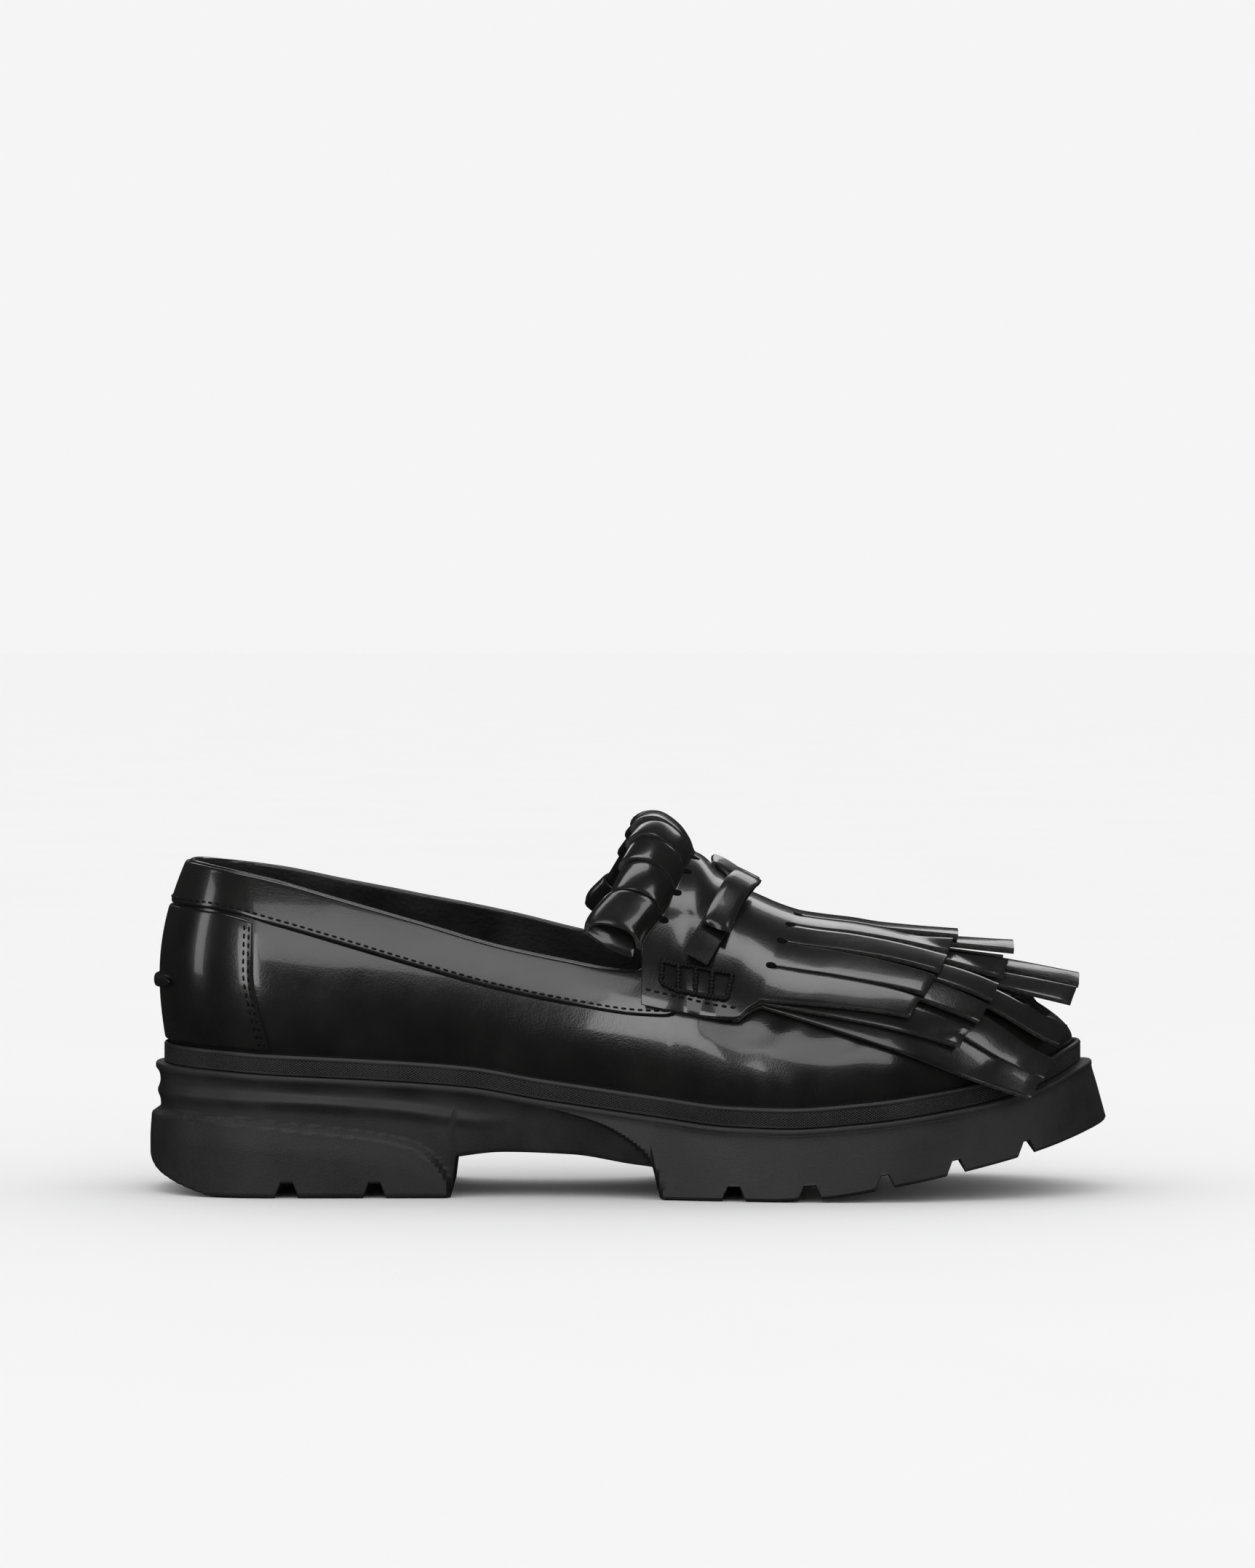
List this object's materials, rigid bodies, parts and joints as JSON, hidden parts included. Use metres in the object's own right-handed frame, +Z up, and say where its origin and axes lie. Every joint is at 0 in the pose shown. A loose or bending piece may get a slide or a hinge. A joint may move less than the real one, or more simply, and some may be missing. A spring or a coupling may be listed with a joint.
{
  "type": "kiltie loafer",
  "caption": "Right-foot kiltie loafer: polished leather slip-on with a fringed, rolled kiltie and bow on a chunky rubber unit sole.",
  "frame": {"origin": "on the floor under the middle of the shoe's bounding box", "axes": "+X towards the toe, +Y towards the inner side of the right foot, +Z up"},
  "size_m": [0.3037, 0.1108, 0.1198],
  "materials": {
    "sole_rubber": "matt moulded rubber",
    "lining_leather": "soft matt lining leather",
    "polished_leather": "high-gloss polished leather"
  },
  "bodies": {
    "root": {"outsole": "sole_rubber", "welt": "sole_rubber", "insole": "lining_leather", "upper": "polished_leather", "collar_band": "polished_leather", "heel_counter": "polished_leather", "heel_tab": "polished_leather", "kiltie_lower": "polished_leather", "kiltie_middle": "polished_leather", "kiltie": "polished_leather", "bow_knot": "polished_leather", "bow_loop_outer": "polished_leather", "bow_loop_inner": "polished_leather", "bow_tail_outer": "polished_leather", "bow_tail_inner": "polished_leather"}
  },
  "joints": []
}
